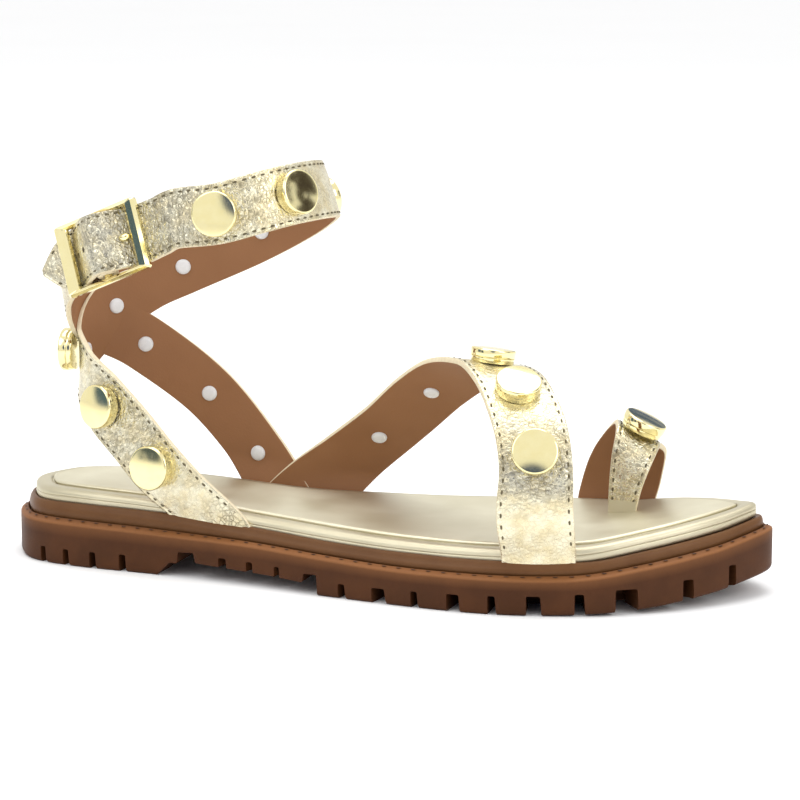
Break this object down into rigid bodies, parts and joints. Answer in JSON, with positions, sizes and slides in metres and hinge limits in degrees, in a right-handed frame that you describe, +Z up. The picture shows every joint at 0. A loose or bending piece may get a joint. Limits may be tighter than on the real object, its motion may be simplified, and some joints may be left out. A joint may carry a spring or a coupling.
{
  "type": "gladiator sandal",
  "caption": "Flat open-toe sandal: lugged rubber sole, footbed, crossing straps with domed studs, a buckled ankle strap and a toe loop.",
  "frame": {"origin": "on the ground under the middle of the heel", "axes": "+X from heel to toe, +Y to the inner side of the foot, +Z up"},
  "size_m": [0.255, 0.0951, 0.1341],
  "materials": {
    "sole_rubber": "satin moulded gum rubber",
    "bead_rubber": "satin rounded bead",
    "footbed_leather": "smooth metallic foil leather",
    "sock_leather": "smooth metallic foil leather",
    "strap_leather": "crinkled metallic foil leather",
    "buckle_metal": "polished pale gold",
    "stud_metal": "polished pale gold"
  },
  "bodies": {
    "root": {"outsole": "sole_rubber", "midsole": "bead_rubber", "footbed": "footbed_leather", "sock_pad": "sock_leather", "upper_straps": "strap_leather", "toe_strap": "strap_leather", "buckle_frame": "buckle_metal", "buckle_prong": "buckle_metal", "stud_vamp_1": "stud_metal", "stud_vamp_2": "stud_metal", "stud_vamp_3": "stud_metal", "stud_vamp_4": "stud_metal", "stud_vamp_5": "stud_metal", "stud_lateral_1": "stud_metal", "stud_lateral_2": "stud_metal", "stud_heel": "stud_metal", "stud_medial_1": "stud_metal", "stud_medial_2": "stud_metal", "stud_medial_3": "stud_metal", "stud_front": "stud_metal", "stud_ankle_1": "stud_metal", "stud_ankle_2": "stud_metal", "stud_quarter_1": "stud_metal", "stud_quarter_2": "stud_metal", "stud_quarter_3": "stud_metal", "stud_toe": "stud_metal"}
  },
  "joints": []
}
